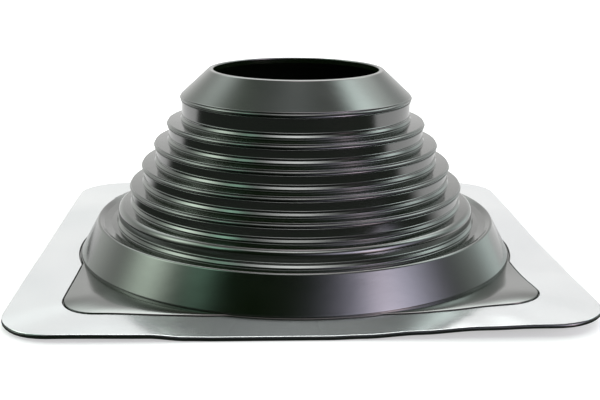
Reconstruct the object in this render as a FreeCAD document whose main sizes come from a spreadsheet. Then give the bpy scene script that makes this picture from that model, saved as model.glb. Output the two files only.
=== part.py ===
"""Pipe flashing boot: a stepped rubber cone on a square base with a soft aluminium flange.

The boot is one moulding of black EPDM rubber. Its cone climbs in tiers, each cut off at a
different pipe size, from a skirt on a square base sheet to an open mouth. A flat aluminium frame
is bonded on top of the base sheet, round the cone, and takes the roof screws.
Millimetres, +Z up, origin on the underside of the base, on the axis of the cone.
"""
import FreeCAD, Part
import math
import os
import Sketcher

TIERS = 6                      # tiers of the cone, counted from the mouth down
SLANT = math.sqrt(0.5)         # sine and cosine of 45 degrees, near the slope of the top cone

DRIVING_SIZES = (
    # base and flange
    ("flange_side", 363.0),          # outer side of the square base and of the aluminium frame
    ("flange_corner", 35.0),         # radius of the four outer corners
    ("frame_width", 31.5),           # width of the aluminium along the straight sides
    ("frame_corner", 27.0),          # radius of the corners of the opening in the aluminium
    ("collar_clearance", 2.8),       # the aluminium is cut back this far from the foot of the skirt
    ("frame_thickness", 1.0),
    ("base_thickness", 3.0),         # rubber sheet under the aluminium
    ("land_height", 2.0),            # rubber inside the frame stands this far above the sheet
    ("land_gap", 0.8),               # groove between the aluminium and the rubber inside it
    # channel under the base, between an outer and an inner sealing face
    ("channel_margin", 10.0),        # width of the outer sealing face
    ("channel_width", 9.0),
    ("channel_corner", 28.0),        # radius of the channel's outer corners
    ("channel_depth", 1.0),
    # cone
    ("wall", 3.0),                   # thickness of the moulded wall
    ("mouth_radius", 59.0),
    ("mouth_depth", 4.0),            # straight part of the mouth
    ("rim_height", 133.4),
    ("rim_width", 2.4),              # flat ring round the mouth
    ("rim_edge_width", 2.1),         # bevel from that ring to the top cone
    ("rim_edge_drop", 0.9),
    ("first_lip_radius", 83.0),      # lip of the first tier
    ("first_lip_height", 115.2),
    ("radius_step", 9.7),            # growth from the first lip to the second
    ("radius_taper", 0.3),           # each later growth is less by this
    ("first_drop", 18.3),            # drop from the first lip to the second
    ("height_step", 14.8),           # each later drop
    # small forms on every tier
    ("shoulder_rise", 0.7),          # a shoulder climbs this far from its lip to the next wall
    ("lip_bevel", 0.8),              # bevel between a shoulder and its lip
    ("lip_height", 2.7),             # the lip tapers back to the wall over this height
    ("wall_inset", 1.3),             # the wall lies this far behind the lip
    ("foot_inset", 0.4),             # the band at the foot of a wall, behind the lip above it
    ("foot_height", 1.4),            # plain face of that band
    ("foot_bevel", 0.9),             # bevel on top of the band
    ("last_round", 4.0),             # the last tier has no lip but a rounded shoulder
    ("last_foot_reach", 1.0),        # its band stands out this far
    # skirt
    ("skirt_radius", 143.6),         # top edge of the skirt
    ("skirt_height", 27.6),
    ("skirt_spread", 11.1),          # the foot of the skirt stands out this much further
    ("hole_inset", 0.8),             # the hole under the base is this much narrower
    ("skirt_edge_width", 1.8),       # bevel on the top edge of the skirt
    ("skirt_edge_drop", 0.9),
    ("ledge_dip", 2.4),              # the ledge inside the skirt's top edge lies this much lower
)


class Size:
    """A length that carries its value and the expression that gives it from the sheet."""

    def __init__(self, value, text):
        self.value = value
        self.text = text

    def __add__(self, other):
        other = as_size(other)
        return Size(self.value + other.value, f"({self.text} + {other.text})")

    def __sub__(self, other):
        other = as_size(other)
        return Size(self.value - other.value, f"({self.text} - {other.text})")

    def __mul__(self, other):
        other = as_size(other)
        return Size(self.value * other.value, f"{self.text} * {other.text}")

    def __truediv__(self, other):
        other = as_size(other)
        return Size(self.value / other.value, f"{self.text} / ({other.text})")


def as_size(number):
    """Wrap a plain number, such as a factor or a count, as a Size."""
    return number if isinstance(number, Size) else Size(float(number), f"{number}")


class Sheet:
    """The document's table of driving sizes; sheet.wall is the Size of the cell called wall."""

    def __init__(self, document, rows):
        self.table = document.addObject("Spreadsheet::Sheet", "Sizes")
        for row, (alias, value) in enumerate(rows, start=1):
            self.table.set(f"A{row}", alias)
            self.table.set(f"B{row}", f"{value}")
            self.table.setAlias(f"B{row}", alias)
            setattr(self, alias, Size(value, f"Sizes.{alias}"))


def origin_plane(body, role):
    """The body's own XY, XZ or YZ plane."""
    return next(plane for plane in body.Origin.OriginFeatures if plane.Role == role)


def new_sketch(body, name, role):
    """An empty sketch on one of the body's own planes."""
    sketch = body.newObject("Sketcher::SketchObject", name)
    sketch.AttachmentSupport = [(origin_plane(body, role), "")]
    sketch.MapMode = "FlatFace"
    return sketch


def hold(sketch, kind, places, size):
    """Constrain a distance or radius in the sketch to a Size."""
    index = sketch.addConstraint(Sketcher.Constraint(kind, *places, size.value))
    sketch.setExpression(f"Constraints[{index}]", size.text)


class Section:
    """A closed outline in the XZ plane, drawn from corner to corner."""

    def __init__(self, radius, height):
        self.corners = [(radius, height)]

    def line(self, radius, height):
        """Straight edge to the next corner."""
        self.corners.append((radius, height))

    def draw(self, sketch):
        """Close the outline and put it in the sketch, with every corner tied to the sizes."""
        points = [FreeCAD.Vector(radius.value, height.value, 0) for radius, height in self.corners]
        edges = []
        for start, end in zip(points, points[1:] + points[:1]):
            edges.append(sketch.addGeometry(Part.LineSegment(start, end), False))
        for edge, next_edge in zip(edges, edges[1:] + edges[:1]):
            sketch.addConstraint(Sketcher.Constraint("Coincident", edge, 2, next_edge, 1))
        for edge, (radius, height) in zip(edges, self.corners):
            hold(sketch, "DistanceX", (edge, 1), radius)
            hold(sketch, "DistanceY", (edge, 1), height)


def rounded_square(sketch, side, corner):
    """Draw a square with rounded corners about the origin of the sketch."""
    half = side.value / 2
    middle = half - corner.value
    ways = ((0, -1), (1, 0), (0, 1), (-1, 0))
    lines = []
    arcs = []
    for quarter, (out_x, out_y) in enumerate(ways):
        along = FreeCAD.Vector(-out_y, out_x, 0)
        side_middle = FreeCAD.Vector(out_x, out_y, 0) * half
        edge = Part.LineSegment(side_middle - along * middle, side_middle + along * middle)
        lines.append(sketch.addGeometry(edge, False))
        centre = (FreeCAD.Vector(out_x, out_y, 0) + along) * middle
        circle = Part.Circle(centre, FreeCAD.Vector(0, 0, 1), corner.value)
        first_angle = (quarter - 1) * math.pi / 2
        arc = Part.ArcOfCircle(circle, first_angle, first_angle + math.pi / 2)
        arcs.append(sketch.addGeometry(arc, False))
    for quarter in range(4):
        after = (quarter + 1) % 4
        sketch.addConstraint(Sketcher.Constraint("Tangent", lines[quarter], 2, arcs[quarter], 1))
        sketch.addConstraint(Sketcher.Constraint("Tangent", arcs[quarter], 2, lines[after], 1))
    for quarter in (0, 2):
        sketch.addConstraint(Sketcher.Constraint("Horizontal", lines[quarter]))
        sketch.addConstraint(Sketcher.Constraint("Vertical", lines[quarter + 1]))
    for quarter in (1, 2, 3):
        sketch.addConstraint(Sketcher.Constraint("Equal", arcs[0], arcs[quarter]))
    sketch.addConstraint(Sketcher.Constraint("Symmetric", arcs[0], 3, arcs[2], 3, -1, 1))
    hold(sketch, "Radius", (arcs[0],), corner)
    hold(sketch, "DistanceX", (lines[3], 1, lines[1], 1), side)
    hold(sketch, "DistanceY", (lines[0], 1, lines[2], 1), side)


def centred_circle(sketch, radius):
    """Draw a circle about the origin of the sketch."""
    circle = Part.Circle(FreeCAD.Vector(0, 0, 0), FreeCAD.Vector(0, 0, 1), radius.value)
    number = sketch.addGeometry(circle, False)
    sketch.addConstraint(Sketcher.Constraint("Coincident", number, 3, -1, 1))
    hold(sketch, "Radius", (number,), radius)


def pad(body, sketch, name, length):
    """Raise the sketch by a Size."""
    feature = body.newObject("PartDesign::Pad", name)
    feature.Profile = sketch
    feature.setExpression("Length", length.text)
    return feature


def pocket(body, sketch, name, depth=None):
    """Cut the sketch upwards from its plane, by a Size or right through."""
    feature = body.newObject("PartDesign::Pocket", name)
    feature.Profile = sketch
    feature.Reversed = True
    if depth is None:
        feature.Type = "ThroughAll"
    else:
        feature.setExpression("Length", depth.text)
    return feature


def tier_lips(sheet):
    """Radius and height of the lip of each tier, from the mouth down."""
    lips = [(sheet.first_lip_radius, sheet.first_lip_height)]
    drop = sheet.first_drop
    for tier in range(1, TIERS):
        radius, height = lips[-1]
        growth = sheet.radius_step - sheet.radius_taper * (tier - 1)
        lips.append((radius + growth, height - drop))
        drop = sheet.height_step
    return lips


def skirt_foot_radius(sheet):
    """Where the skirt meets the rubber inside the frame."""
    return sheet.skirt_radius + sheet.skirt_spread


def draw_rim(sheet):
    """Start the outline at the mouth and take it over the rim to the top cone."""
    section = Section(sheet.mouth_radius, sheet.rim_height - sheet.mouth_depth)
    section.line(sheet.mouth_radius, sheet.rim_height)
    edge_radius = sheet.mouth_radius + sheet.rim_width
    section.line(edge_radius, sheet.rim_height)
    section.line(edge_radius + sheet.rim_edge_width, sheet.rim_height - sheet.rim_edge_drop)
    return section


def draw_lip(section, sheet, radius, height):
    """End of a shoulder, the bevel on its lip and the taper back to the wall below."""
    section.line(radius - sheet.lip_bevel, height)
    section.line(radius, height - sheet.lip_bevel)
    section.line(radius - sheet.wall_inset, height - sheet.lip_height)


def draw_foot(section, sheet, wall_radius, foot_radius, floor_height):
    """The band round the foot of a wall, down to the floor that it stands on."""
    band_height = floor_height + sheet.foot_height
    section.line(wall_radius, band_height + sheet.foot_bevel)
    section.line(foot_radius, band_height)
    section.line(foot_radius, floor_height)


def draw_outside(section, sheet, lips):
    """Take the outline down the tiers and the skirt to the underside of the base."""
    for (radius, height), (_, next_height) in zip(lips, lips[1:]):
        draw_lip(section, sheet, radius, height)
        draw_foot(section, sheet, radius - sheet.wall_inset, radius - sheet.foot_inset,
                  next_height + sheet.shoulder_rise)
    radius, height = lips[-1]
    half_way = sheet.last_round * (1 - SLANT)
    section.line(radius - sheet.last_round, height)
    section.line(radius - half_way, height - half_way)
    section.line(radius, height - sheet.last_round)
    draw_foot(section, sheet, radius, radius + sheet.last_foot_reach,
              sheet.skirt_height - sheet.ledge_dip)
    section.line(sheet.skirt_radius - sheet.skirt_edge_width, sheet.skirt_height)
    section.line(sheet.skirt_radius, sheet.skirt_height - sheet.skirt_edge_drop)
    section.line(skirt_foot_radius(sheet), sheet.base_thickness + sheet.land_height)
    section.line(skirt_foot_radius(sheet), as_size(0))


def draw_inside(section, sheet, lips):
    """Bring the outline back up inside the cone, a wall thickness behind the outside."""
    section.line(skirt_foot_radius(sheet) - sheet.hole_inset, as_size(0))
    floor_height = sheet.skirt_height - sheet.ledge_dip - sheet.wall
    section.line(sheet.skirt_radius - sheet.wall, floor_height)
    inset = as_size(0)
    for radius, height in reversed(lips[1:]):
        inner_radius = radius - inset - sheet.wall
        section.line(inner_radius, floor_height)
        floor_height = height - sheet.wall
        section.line(inner_radius, floor_height)
        inset = sheet.wall_inset
    radius, height = lips[0]
    inner_radius = radius - inset - sheet.wall
    section.line(inner_radius, floor_height)
    cone_height = height + inset + sheet.wall - sheet.lip_bevel
    section.line(inner_radius, cone_height - sheet.wall / SLANT)


def make_boot(document, sheet):
    """The rubber moulding: base sheet, land inside the frame, and the stepped cone."""
    body = document.addObject("PartDesign::Body", "rubber_boot")
    opening_side = sheet.flange_side - sheet.frame_width * 2
    land_top = sheet.base_thickness + sheet.land_height

    base = new_sketch(body, "BaseOutline", "XY_Plane")
    rounded_square(base, sheet.flange_side, sheet.flange_corner)
    pad(body, base, "BaseSheet", sheet.base_thickness)

    land = new_sketch(body, "LandOutline", "XY_Plane")
    rounded_square(land, opening_side - sheet.land_gap * 2, sheet.frame_corner - sheet.land_gap)
    pad(body, land, "CornerLand", land_top)

    collar = new_sketch(body, "CollarOutline", "XY_Plane")
    collar_radius = skirt_foot_radius(sheet) + sheet.collar_clearance
    centred_circle(collar, collar_radius - sheet.land_gap)
    pad(body, collar, "CollarLand", land_top)

    hole = new_sketch(body, "HoleOutline", "XY_Plane")
    centred_circle(hole, skirt_foot_radius(sheet) - sheet.hole_inset)
    pocket(body, hole, "Hole")

    channel_side = sheet.flange_side - sheet.channel_margin * 2
    channel = new_sketch(body, "ChannelOutline", "XY_Plane")
    rounded_square(channel, channel_side, sheet.channel_corner)
    rounded_square(channel, channel_side - sheet.channel_width * 2,
                   sheet.channel_corner - sheet.channel_width)
    pocket(body, channel, "SealChannel", sheet.channel_depth)

    lips = tier_lips(sheet)
    section = draw_rim(sheet)
    draw_outside(section, sheet, lips)
    draw_inside(section, sheet, lips)
    profile = new_sketch(body, "ConeSection", "XZ_Plane")
    section.draw(profile)
    cone = body.newObject("PartDesign::Revolution", "Cone")
    cone.Profile = profile
    cone.ReferenceAxis = (profile, ["V_Axis"])
    cone.Angle = 360
    body.Tip = cone
    return body


def make_flange(document, sheet):
    """The soft aluminium frame that lies on the base sheet, round the rubber land."""
    body = document.addObject("PartDesign::Body", "aluminium_flange")
    opening_side = sheet.flange_side - sheet.frame_width * 2

    outline = new_sketch(body, "FrameOutline", "XY_Plane")
    rounded_square(outline, sheet.flange_side, sheet.flange_corner)
    pad(body, outline, "Plate", sheet.frame_thickness)

    opening = new_sketch(body, "OpeningOutline", "XY_Plane")
    rounded_square(opening, opening_side, sheet.frame_corner)
    pocket(body, opening, "Opening")

    collar = new_sketch(body, "CollarCutOutline", "XY_Plane")
    centred_circle(collar, skirt_foot_radius(sheet) + sheet.collar_clearance)
    body.Tip = pocket(body, collar, "CollarCut")
    body.setExpression("Placement.Base.z", sheet.base_thickness.text)
    return body


def check_document(document):
    """Stop if any object of the document failed to build."""
    for item in document.Objects:
        if "Invalid" in item.State or "Error" in item.State:
            raise RuntimeError(f"{item.Name} failed: {item.State}")


def check_solid(body):
    """Stop unless the sub-part is one valid solid."""
    shape = body.Shape
    if shape.isNull() or not shape.isValid() or len(shape.Solids) != 1:
        raise RuntimeError(f"{body.Label} is not one valid solid")


def main():
    document = FreeCAD.newDocument("pipe_flashing_boot")
    sheet = Sheet(document, DRIVING_SIZES)
    document.recompute()
    bodies = [make_boot(document, sheet), make_flange(document, sheet)]
    document.recompute()
    check_document(document)
    for body in bodies:
        check_solid(body)
    os.makedirs("parts", exist_ok=True)
    for body in bodies:
        body.Shape.exportStep(f"parts/{body.Label}.step")
        print(f"{body.Label}: {body.Shape.Volume:.0f} mm3, {len(body.Shape.Faces)} faces,"
              f" top at {body.Shape.BoundBox.ZMax:.2f}")


main()
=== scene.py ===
"""Looks of the pipe flashing boot.

The rubber moulding is drawn again from its section with every bead, groove and crease, the base
sheet and the aluminium frame get the slight wave of soft sheet, and both get their materials.
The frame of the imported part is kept. Sizes are in millimetres and become metres in the meshes.
"""
import math

import bpy
from mathutils import Matrix, Vector


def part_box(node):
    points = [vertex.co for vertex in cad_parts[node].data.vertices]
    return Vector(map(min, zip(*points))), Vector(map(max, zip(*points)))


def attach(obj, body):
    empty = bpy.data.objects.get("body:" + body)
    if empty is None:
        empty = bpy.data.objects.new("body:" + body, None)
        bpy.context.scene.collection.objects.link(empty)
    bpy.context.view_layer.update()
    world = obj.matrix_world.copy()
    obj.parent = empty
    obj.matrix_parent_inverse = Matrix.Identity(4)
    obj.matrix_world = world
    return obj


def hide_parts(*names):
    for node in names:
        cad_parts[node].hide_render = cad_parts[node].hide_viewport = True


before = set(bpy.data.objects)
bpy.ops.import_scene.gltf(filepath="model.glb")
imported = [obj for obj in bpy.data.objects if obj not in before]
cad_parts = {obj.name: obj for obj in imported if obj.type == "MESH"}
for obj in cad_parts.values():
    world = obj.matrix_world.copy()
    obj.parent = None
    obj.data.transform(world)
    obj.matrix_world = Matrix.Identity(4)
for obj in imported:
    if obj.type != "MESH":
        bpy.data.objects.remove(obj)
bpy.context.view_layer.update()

MM = 0.001
SPOKES = 300                   # points round each ring of the meshes
ANGLES = [math.tau * spoke / SPOKES for spoke in range(SPOKES)]

# Base and frame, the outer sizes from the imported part
_, boot_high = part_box("rubber_boot")
flange_low, flange_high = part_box("aluminium_flange")
HALF_SIDE = boot_high[0] / MM
RIM_HEIGHT = boot_high[2] / MM
SHEET_THINNED = 0.9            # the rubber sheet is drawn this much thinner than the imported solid
FLANGE_THINNED = 0.2           # and the aluminium this much thinner
SHEET_TOP = flange_low[2] / MM - SHEET_THINNED
FLANGE_TOP = flange_high[2] / MM - SHEET_THINNED - FLANGE_THINNED
OUTER_CORNER = 35.0
FRAME_WIDTH = 31.5
FRAME_CORNER = 27.0
COLLAR_RADIUS = 157.5          # round cut in the aluminium
LAND_GAP = 1.2                 # groove between the aluminium and the rubber inside it
LAND_TOP = 3.7
CHANNEL_MARGIN = 10.0
CHANNEL_WIDTH = 9.0
CHANNEL_CORNER = 28.0
CHANNEL_DEPTH = 1.0

# Cone, from the mouth down: radius and height of the lip of each tier
MOUTH_RADIUS = 59.0
MOUTH_DEPTH = 4.0
WALL = 3.0
TIERS = 6
FIRST_LIP = (83.0, 115.6)
FIRST_DROP = 18.7
HEIGHT_STEP = 14.8
RADIUS_STEP, RADIUS_TAPER = 9.7, 0.3
WALL_INSET = 1.3               # a wall lies this far behind the lip above it
FOOT_INSET = 0.35              # and the band at its foot this far
SHOULDER_RISE = 0.7            # a shoulder climbs this far from its lip to the next wall

# Skirt
SKIRT_RADIUS = 143.6
SKIRT_HEIGHT = 27.6
SKIRT_FOOT = 155.5
HOLE_RADIUS = 153.9
LEDGE_HEIGHT = 25.2


# ---------------------------------------------------------------- outlines

def tier_lips():
    """Radius and height of the lip of each tier."""
    lips = [FIRST_LIP]
    drop = FIRST_DROP
    for tier in range(1, TIERS):
        radius, height = lips[-1]
        growth = RADIUS_STEP - RADIUS_TAPER * (tier - 1)
        lips.append((radius + growth, height - drop))
        drop = HEIGHT_STEP
    return lips


def bend(radius, height, size, start, end, steps):
    """Points of an arc about (radius, height). Angles are in degrees, 0 outwards and 90 upwards."""
    points = []
    for step in range(steps + 1):
        angle = math.radians(start + (end - start) * step / steps)
        points.append((radius + size * math.cos(angle), height + size * math.sin(angle)))
    return points


def bead(radius, top, bottom, reach, steps=6):
    """A bead that stands out from a wall of the given radius, or a groove if reach is negative."""
    points = []
    for step in range(steps + 1):
        share = step / steps
        points.append((radius + reach * math.sin(math.pi * share), top + (bottom - top) * share))
    return points


LONG_LINE = 1.5
BRACE = 0.2                    # a long line gets a point this far from each end


def braced(outline):
    """The outline with points added near the ends of long lines, so that their shading stays flat."""
    points = [outline[0]]
    for (radius, height), (next_radius, next_height) in zip(outline, outline[1:]):
        across, up = next_radius - radius, next_height - height
        length = math.hypot(across, up)
        if length > LONG_LINE:
            for share in (BRACE / length, 1 - BRACE / length):
                points.append((radius + across * share, height + up * share))
        points.append((next_radius, next_height))
    return points


def rim_outline():
    """The mouth, the rounded rim and the start of the top cone."""
    outline = [(MOUTH_RADIUS, RIM_HEIGHT - MOUTH_DEPTH)]
    outline += bend(MOUTH_RADIUS + 0.7, RIM_HEIGHT - 0.7, 0.7, 180, 90, 4)
    outline += bend(MOUTH_RADIUS + 2.6, RIM_HEIGHT - 2.2, 2.2, 90, 47, 6)
    return outline


def lip_outline(radius, height):
    """The rounded end of a shoulder, the crease under it, the lip and a thin bead below."""
    outline = bend(radius - 1.25, height - 0.35, 0.35, 80, -10, 4)
    outline.append((radius - 1.1, height - 0.75))
    outline += bead(radius - 1.05, height - 0.95, height - 2.75, 1.05)
    outline.append((radius - 1.5, height - 3.0))
    outline += bead(radius - 1.4, height - 3.4, height - 4.5, 0.8, 4)
    return outline


def foot_outline(wall_radius, foot_radius, floor_height):
    """The end of a wall with a thin bead, a groove, and the rounded band at its foot."""
    outline = bead(wall_radius, floor_height + 4.8, floor_height + 4.0, 0.45, 4)
    outline.append((wall_radius - 0.45, floor_height + 3.6))
    outline.append((wall_radius - 0.4, floor_height + 3.1))
    outline.append((wall_radius - 0.05, floor_height + 2.9))
    outline += bend(foot_radius - 0.25, floor_height + 1.35, 0.35, 41, 0, 3)
    outline.append((foot_radius - 0.1, floor_height + 0.3))
    outline.append((foot_radius + 0.2, floor_height))
    return outline


def cone_outside():
    """The outside of the cone and the skirt, from the mouth down."""
    lips = tier_lips()
    outline = rim_outline()
    for (radius, height), (_, next_height) in zip(lips, lips[1:]):
        outline += lip_outline(radius, height)
        outline += foot_outline(radius - WALL_INSET, radius - FOOT_INSET,
                                next_height + SHOULDER_RISE)
    radius, height = lips[-1]
    outline += bend(radius - 4.4, height - 4.4, 4.4, 90, 0, 8)
    outline += foot_outline(radius, radius + 1.1, LEDGE_HEIGHT - 0.3)
    outline.append((radius + 5.0, LEDGE_HEIGHT - 0.5))
    outline.append((SKIRT_RADIUS - 5.0, LEDGE_HEIGHT + 0.4))
    outline.append((SKIRT_RADIUS - 3.0, LEDGE_HEIGHT + 1.6))
    outline += bend(SKIRT_RADIUS - 1.5, SKIRT_HEIGHT - 1.5, 1.5, 115, 25, 6)
    outline += bend(SKIRT_FOOT - 0.6, LAND_TOP + 0.9, 0.5, 30, -40, 4)
    outline.append((SKIRT_FOOT, LAND_TOP - 0.2))
    outline.append((SKIRT_FOOT + 0.5, LAND_TOP))
    return outline


def cone_inside():
    """The inside of the cone, a wall thickness behind the outside, from the base up."""
    outline = [(HOLE_RADIUS, 0.0)]
    floor_height = LEDGE_HEIGHT - WALL
    outline.append((SKIRT_RADIUS - WALL, floor_height))
    inset = 0.0
    lips = tier_lips()
    for radius, height in reversed(lips[1:]):
        inner_radius = radius - inset - WALL
        outline.append((inner_radius + 0.5, floor_height))
        outline.append((inner_radius, floor_height + 0.5))
        floor_height = height - WALL
        outline.append((inner_radius, floor_height - 0.8))
        outline.append((inner_radius - 0.8, floor_height))
        inset = WALL_INSET
    radius, height = lips[0]
    inner_radius = radius - inset - WALL
    outline.append((inner_radius, floor_height))
    outline.append((inner_radius, height + inset + WALL - 0.8 - WALL * math.sqrt(2)))
    return outline


def square_reach(angle, half, corner):
    """Distance from the axis to a square with rounded corners, in the direction of the angle."""
    angle = abs((angle + math.pi / 4) % (math.pi / 2) - math.pi / 4)
    middle = half - corner
    if math.tan(angle) * half <= middle:
        return half / math.cos(angle)
    along = middle * (math.cos(angle) + math.sin(angle))
    return along + math.sqrt(along ** 2 - 2 * middle ** 2 + corner ** 2)


# ---------------------------------------------------------------- wave of the soft base

# How far the outer edge of the base lies off the floor, by direction in degrees from the X axis.
# The front edge, from -140 to -40, follows one real boot but stays off the floor. The rest is
# judged or guessed.
EDGE_LIFTS = (
    (-180.0, 2.7), (-150.0, 2.5), (-141.0, 2.4), (-134.0, 1.8), (-128.0, 2.4), (-117.0, 2.0),
    (-111.0, 0.3), (-106.0, 0.0), (-86.0, 0.0), (-80.0, 0.8), (-70.0, 2.9), (-60.0, 5.1), (-53.0, 6.0),
    (-44.0, 6.3), (-22.0, 3.4), (8.0, 1.8), (48.0, 1.2), (68.0, 2.8), (90.0, 4.3), (112.0, 2.8),
    (135.0, 1.6), (160.0, 2.2), (180.0, 2.7),
)
LIFT_START = 150.0             # the base is flat inside this radius
LIFT_REACH = 50.0


def lift(x, y):
    """Height by which the soft base is off the floor at a point."""
    direction = math.degrees(math.atan2(y, x))
    for (before, low), (after, high) in zip(EDGE_LIFTS, EDGE_LIFTS[1:]):
        if direction <= after:
            share = 0.5 - 0.5 * math.cos(math.pi * (direction - before) / (after - before))
            edge_lift = low + (high - low) * share
            break
    share = min(max((math.hypot(x, y) - LIFT_START) / LIFT_REACH, 0.0), 1.0)
    return edge_lift * share * share * (3 - 2 * share)


# ---------------------------------------------------------------- meshes

class Ring:
    """A closed ring of points at one height; its reach from the axis may change with the angle."""

    def __init__(self, reach, height):
        self.reach = reach if callable(reach) else lambda angle: reach
        self.height = height

    def points(self):
        for angle in ANGLES:
            reach = self.reach(angle)
            x = reach * math.cos(angle)
            y = reach * math.sin(angle)
            yield (x * MM, y * MM, (self.height + lift(x, y)) * MM)


def square_ring(half, corner, height):
    """A ring along a square with rounded corners."""
    return Ring(lambda angle: square_reach(angle, half, corner), height)


def opening_ring(shrink, height):
    """A ring along the opening in the aluminium, or inside it by shrink."""
    half = HALF_SIDE - FRAME_WIDTH - shrink
    corner = FRAME_CORNER - shrink
    radius = COLLAR_RADIUS - shrink
    return Ring(lambda angle: max(square_reach(angle, half, corner), radius), height)


def ring_mesh(name, rings, sharp_degrees):
    """A closed skin from each ring to the next, and from the last back to the first."""
    vertices = [point for ring in rings for point in ring.points()]
    faces = []
    for number in range(len(rings)):
        upper = number * SPOKES
        lower = (number + 1) % len(rings) * SPOKES
        for spoke in range(SPOKES):
            after = (spoke + 1) % SPOKES
            faces.append((upper + spoke, lower + spoke, lower + after, upper + after))
    mesh = bpy.data.meshes.new(name)
    mesh.from_pydata(vertices, [], faces)
    mesh.polygons.foreach_set("use_smooth", [True] * len(faces))
    mesh.set_sharp_from_angle(angle=math.radians(sharp_degrees))
    mesh.validate()
    piece = bpy.data.objects.new(name, mesh)
    bpy.context.collection.objects.link(piece)
    return piece


def make_boot():
    """The whole rubber moulding as one closed skin."""
    rings = [Ring(radius, height) for radius, height in braced(cone_outside())]
    rings.append(opening_ring(LAND_GAP + 0.5, LAND_TOP))
    rings.append(opening_ring(LAND_GAP + 0.1, LAND_TOP - 0.2))
    rings.append(opening_ring(LAND_GAP, LAND_TOP - 0.5))
    rings.append(opening_ring(LAND_GAP - 0.3, SHEET_TOP - 1.4))
    rings.append(opening_ring(0.3, SHEET_TOP - 1.4))
    rings.append(opening_ring(0.0, SHEET_TOP))
    for share in (0.35, 0.7):
        rings.append(square_ring(HALF_SIDE - FRAME_WIDTH * (1 - share) + 2.0, OUTER_CORNER - 4, SHEET_TOP))
    rings.append(square_ring(HALF_SIDE - 0.3, OUTER_CORNER - 0.3, SHEET_TOP))
    rings.append(square_ring(HALF_SIDE, OUTER_CORNER, SHEET_TOP - 0.4))
    rings.append(square_ring(HALF_SIDE, OUTER_CORNER, 0.5))
    rings.append(square_ring(HALF_SIDE - 0.5, OUTER_CORNER - 0.5, 0.0))
    channel_outer = HALF_SIDE - CHANNEL_MARGIN
    channel_inner = channel_outer - CHANNEL_WIDTH
    inner_corner = CHANNEL_CORNER - CHANNEL_WIDTH
    rings.append(square_ring(channel_outer, CHANNEL_CORNER, 0.0))
    rings.append(square_ring(channel_outer, CHANNEL_CORNER, CHANNEL_DEPTH))
    rings.append(square_ring(channel_inner, inner_corner, CHANNEL_DEPTH))
    rings.append(square_ring(channel_inner, inner_corner, 0.0))
    rings += [Ring(radius, height) for radius, height in braced(cone_inside())]
    return ring_mesh("moulded_rubber_boot", rings, 42)


def make_flange():
    """The aluminium sheet with its rounded outline and opening."""
    burr = 0.15
    inset = 0.25
    rings = [opening_ring(-burr, FLANGE_TOP)]
    for share in (0.3, 0.6, 0.85):
        rings.append(square_ring(HALF_SIDE - FRAME_WIDTH * (1 - share) + 2.0 * (1 - share),
                                 FRAME_CORNER + (OUTER_CORNER - FRAME_CORNER) * share, FLANGE_TOP))
    rings.append(square_ring(HALF_SIDE - inset - burr, OUTER_CORNER - inset - burr, FLANGE_TOP))
    rings.append(square_ring(HALF_SIDE - inset, OUTER_CORNER - inset, FLANGE_TOP - burr))
    rings.append(square_ring(HALF_SIDE - inset, OUTER_CORNER - inset, SHEET_TOP))
    rings.append(opening_ring(0.0, SHEET_TOP))
    rings.append(opening_ring(0.0, FLANGE_TOP - burr))
    return ring_mesh("aluminium_sheet_flange", rings, 30)


# ---------------------------------------------------------------- materials

def new_material(name):
    """An empty node material and its shader."""
    material = bpy.data.materials.new(name)
    material.use_nodes = True
    return material, material.node_tree, material.node_tree.nodes["Principled BSDF"]


def noise_node(tree, scale, detail, stretch=(1.0, 1.0, 1.0)):
    """Noise in object coordinates; the scale is in cells per metre."""
    place = tree.nodes.new("ShaderNodeTexCoord")
    mapping = tree.nodes.new("ShaderNodeMapping")
    mapping.inputs["Scale"].default_value = stretch
    texture = tree.nodes.new("ShaderNodeTexNoise")
    texture.inputs["Scale"].default_value = scale
    texture.inputs["Detail"].default_value = detail
    tree.links.new(place.outputs["Object"], mapping.inputs["Vector"])
    tree.links.new(mapping.outputs["Vector"], texture.inputs["Vector"])
    return texture.outputs["Fac"]


def ramp_node(tree, value, stops):
    """A colour ramp over the value, from (position, colour) stops."""
    ramp = tree.nodes.new("ShaderNodeValToRGB")
    elements = ramp.color_ramp.elements
    while len(elements) < len(stops):
        elements.new(0.5)
    for element, (position, colour) in zip(elements, stops):
        element.position = position
        element.color = (*colour, 1.0)
    tree.links.new(value, ramp.inputs["Fac"])
    return ramp.outputs["Color"]


def range_node(tree, value, low, high):
    """The value, from 0 to 1, spread from low to high."""
    spread = tree.nodes.new("ShaderNodeMapRange")
    spread.inputs["To Min"].default_value = low
    spread.inputs["To Max"].default_value = high
    tree.links.new(value, spread.inputs["Value"])
    return spread.outputs["Result"]


def smooth_step(tree, value, start, end, low, high):
    """A smooth rise from low to high while the value goes from start to end."""
    spread = tree.nodes.new("ShaderNodeMapRange")
    spread.interpolation_type = "SMOOTHSTEP"
    for socket, number in (("From Min", start), ("From Max", end), ("To Min", low), ("To Max", high)):
        spread.inputs[socket].default_value = number
    tree.links.new(value, spread.inputs["Value"])
    return spread.outputs["Result"]


def math_node(tree, operation, *values):
    """The result of a Math node, or of a Vector Math node for LENGTH; values are numbers or sockets."""
    if operation == "LENGTH":
        node = tree.nodes.new("ShaderNodeVectorMath")
    else:
        node = tree.nodes.new("ShaderNodeMath")
    node.operation = operation
    for socket, value in zip(node.inputs, values):
        if isinstance(value, (int, float)):
            socket.default_value = value
        else:
            tree.links.new(value, socket)
    return node.outputs["Value"]


def bump_node(tree, height, distance, strength, normal=None):
    """A bump from a height of 0 to 1; the distance is in metres."""
    bump = tree.nodes.new("ShaderNodeBump")
    bump.inputs["Distance"].default_value = distance
    bump.inputs["Strength"].default_value = strength
    tree.links.new(height, bump.inputs["Height"])
    if normal is not None:
        tree.links.new(normal, bump.inputs["Normal"])
    return bump.outputs["Normal"]


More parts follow.
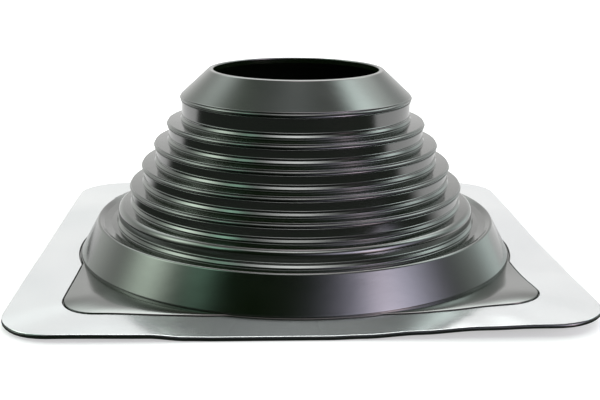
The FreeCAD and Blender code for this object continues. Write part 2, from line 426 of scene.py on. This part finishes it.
def rubber_material():
    """Moulded black rubber: an even dark skin with a satin gloss, cloudy in places."""
    material, tree, shader = new_material("black_moulded_rubber")
    clouds = noise_node(tree, 22.0, 3.0)
    colour = ramp_node(tree, clouds, ((0.3, (0.0030, 0.0078, 0.0018)), (0.7, (0.0065, 0.0115, 0.0045))))
    tree.links.new(colour, shader.inputs["Base Color"])
    smears = noise_node(tree, 60.0, 4.0)
    tree.links.new(range_node(tree, smears, 0.11, 0.19), shader.inputs["Roughness"])
    shader.inputs["IOR"].default_value = 2.25          # above that of rubber, for its strong gloss
    grain = noise_node(tree, 2600.0, 2.0)
    fine = bump_node(tree, grain, 0.00002, 0.35)
    swell = noise_node(tree, 60.0, 2.0, (1.0, 1.0, 2.0))
    tree.links.new(bump_node(tree, swell, 0.0003, 0.16, fine), shader.inputs["Normal"])
    return material


def aluminium_material():
    """Bare soft sheet: rolling lines along it, a faint cloud and a very slight unevenness."""
    material, tree, shader = new_material("rolled_aluminium_sheet")
    shader.inputs["Metallic"].default_value = 0.85
    clouds = noise_node(tree, 14.0, 3.0)
    colour = ramp_node(tree, clouds, ((0.3, (0.70, 0.715, 0.73)), (0.7, (0.76, 0.77, 0.78))))
    tree.links.new(colour, shader.inputs["Base Color"])
    lines = noise_node(tree, 300.0, 3.0, (1.0, 12.0, 1.0))
    tree.links.new(range_node(tree, lines, 0.13, 0.24), shader.inputs["Roughness"])
    fine = bump_node(tree, lines, 0.00002, 0.12)
    swell = noise_node(tree, 18.0, 1.0)
    tree.links.new(bump_node(tree, swell, 0.0006, 0.12, fine), shader.inputs["Normal"])
    return material


def floor_material():
    """A floor that shows white with the shadow of the part. In reflections it is white behind the
    part, as the backdrop is, and dark card on the camera's side."""
    material, tree, shader = new_material("white_floor")
    path = tree.nodes.new("ShaderNodeLightPath")
    colour = ramp_node(tree, path.outputs["Is Camera Ray"],
                       ((0.0, (0.05, 0.05, 0.05)), (1.0, (0.62, 0.62, 0.62))))
    tree.links.new(colour, shader.inputs["Base Color"])
    shader.inputs["Roughness"].default_value = 0.9
    shader.inputs["Specular IOR Level"].default_value = 0.0
    place = tree.nodes.new("ShaderNodeTexCoord")
    split = tree.nodes.new("ShaderNodeSeparateXYZ")
    tree.links.new(place.outputs["Object"], split.inputs["Vector"])
    slant = math_node(tree, "MULTIPLY_ADD", split.outputs["X"], 0.3, split.outputs["Y"])
    behind = smooth_step(tree, slant, 0.01, 0.10, 0.0, 1.1)
    distance = math_node(tree, "LENGTH", place.outputs["Object"])
    around = smooth_step(tree, distance, 0.2, 0.38, 0.5, 1.0)
    shown = math_node(tree, "MULTIPLY", around, path.outputs["Is Camera Ray"])
    outside = smooth_step(tree, distance, 0.17, 0.21, 0.0, 1.0)     # nothing glows under the part
    mirrored = math_node(tree, "MULTIPLY", math_node(tree, "MULTIPLY", behind, outside),
                         path.outputs["Is Glossy Ray"])
    shader.inputs["Emission Color"].default_value = (1.0, 1.0, 1.0, 1.0)
    tree.links.new(math_node(tree, "ADD", shown, mirrored), shader.inputs["Emission Strength"])
    return material


# ---------------------------------------------------------------- studio

CAMERA_PLACE = (3.5, -736.7, 231.3)      # beside the part, before the part's turn
CAMERA_PITCH = math.radians(14.85)
CAMERA_ROLL = 0.008
CAMERA_LENS = 62.0
SENSOR_WIDTH = 36.0
PART_TURN = 0.0462             # the part stands turned by this, so the camera goes round it instead


def make_camera():
    """The camera, turned about the part's own axis."""
    data = bpy.data.cameras.new("camera")
    data.lens = CAMERA_LENS
    data.sensor_width = SENSOR_WIDTH
    camera = bpy.data.objects.new("camera", data)
    bpy.context.collection.objects.link(camera)
    turn = Matrix.Rotation(-PART_TURN, 4, "Z")
    pitch = Matrix.Rotation(math.pi / 2 - CAMERA_PITCH, 4, "X")
    roll = Matrix.Rotation(CAMERA_ROLL, 4, "Z")
    camera.matrix_world = turn @ Matrix.Translation(Vector(CAMERA_PLACE) * MM) @ pitch @ roll
    bpy.context.scene.camera = camera


# Soft studio lights: azimuth (0 on the camera's side, 90 on the right) and elevation of the middle,
# half width and half height, all in degrees, and the light of the middle, where 1 is white. Places
# and widths were fitted to the reflections in one view; the strengths were then lowered.
LIGHTS = (
    (50, 24, 26, 11, (3.3, 3.2, 4.0)),
    (50, 14, 10, 17, (2.2, 1.7, 1.8)),
    (110, 45, 11, 18, (3.3, 3.9, 3.7)),
    (130, 5, 16, 18, (0.8, 1.0, 0.95)),
    (180, 8, 65, 19, (1.04, 1.04, 1.03)),
    (180, 43, 50, 12, (3.3, 3.7, 3.5)),
    (170, 65, 40, 28, (2.1, 1.8, 1.9)),
    (-130, 5, 26, 30, (0.45, 0.5, 0.45)),
    (-90, 35, 15, 17, (3.7, 4.4, 3.7)),
    (-60, 45, 11, 11, (1.5, 2.7, 2.0)),
    (0, 65, 50, 8, (4.0, 4.1, 4.0)),
    (0, 90, 720, 18, (0.45, 0.48, 0.48)),
)


def squared_share(tree, distance, half_width):
    """The square of a distance, as a share of the half width."""
    return math_node(tree, "POWER", math_node(tree, "DIVIDE", distance, half_width), 2.0)


def make_world():
    """White to the camera. Every other ray meets soft lights all round, each fading outwards."""
    world = bpy.data.worlds.new("studio")
    bpy.context.scene.world = world
    world.use_nodes = True
    tree = world.node_tree
    place = tree.nodes.new("ShaderNodeTexCoord")
    split = tree.nodes.new("ShaderNodeSeparateXYZ")
    tree.links.new(place.outputs["Generated"], split.inputs["Vector"])
    forward = math_node(tree, "MULTIPLY", split.outputs["Y"], -1.0)
    turned = math_node(tree, "ARCTAN2", split.outputs["X"], forward)
    azimuth = math_node(tree, "DEGREES", math_node(tree, "ADD", turned, PART_TURN))
    elevation = math_node(tree, "DEGREES", math_node(tree, "ARCSINE", split.outputs["Z"]))
    total = None
    for middle, height, half_width, half_height, colour in LIGHTS:
        aside = math_node(tree, "WRAP", math_node(tree, "SUBTRACT", azimuth, middle), 180.0, -180.0)
        above = math_node(tree, "SUBTRACT", elevation, height)
        outward = math_node(tree, "ADD", squared_share(tree, aside, half_width),
                            squared_share(tree, above, half_height))
        fade = math_node(tree, "EXPONENT", math_node(tree, "MULTIPLY", outward, -1.0))
        light = tree.nodes.new("ShaderNodeVectorMath")
        light.operation = "MULTIPLY_ADD"
        tree.links.new(fade, light.inputs[0])
        light.inputs[1].default_value = colour
        if total is not None:
            tree.links.new(total, light.inputs[2])
        total = light.outputs["Vector"]
    path = tree.nodes.new("ShaderNodeLightPath")
    seen = tree.nodes.new("ShaderNodeMix")
    seen.data_type = "RGBA"
    tree.links.new(path.outputs["Is Camera Ray"], seen.inputs["Factor"])
    tree.links.new(total, seen.inputs["A"])
    seen.inputs["B"].default_value = (1.0, 1.0, 1.0, 1.0)
    tree.links.new(seen.outputs["Result"], tree.nodes["Background"].inputs["Color"])


FLOOR_REACH = 12.0             # metres
FLOOR_GAP = 0.2                # between the floor and the part


def make_floor(material):
    """A wide white floor under the part."""
    mesh = bpy.data.meshes.new("floor")
    corners = [(side * FLOOR_REACH, depth * FLOOR_REACH, 0)
               for side, depth in ((-1, -1), (1, -1), (1, 1), (-1, 1))]
    mesh.from_pydata(corners, [], [(0, 1, 2, 3)])
    floor = bpy.data.objects.new("floor", mesh)
    floor.location.z = -FLOOR_GAP * MM
    mesh.materials.append(material)
    bpy.context.collection.objects.link(floor)


def main():
    bpy.context.scene.view_settings.view_transform = "Standard"
    boot = make_boot()
    boot.data.materials.append(rubber_material())
    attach(boot, "root")
    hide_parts("rubber_boot")

    flange = make_flange()
    flange.data.materials.append(aluminium_material())
    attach(flange, "root")
    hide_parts("aluminium_flange")

    make_floor(floor_material())
    make_world()
    make_camera()


main()
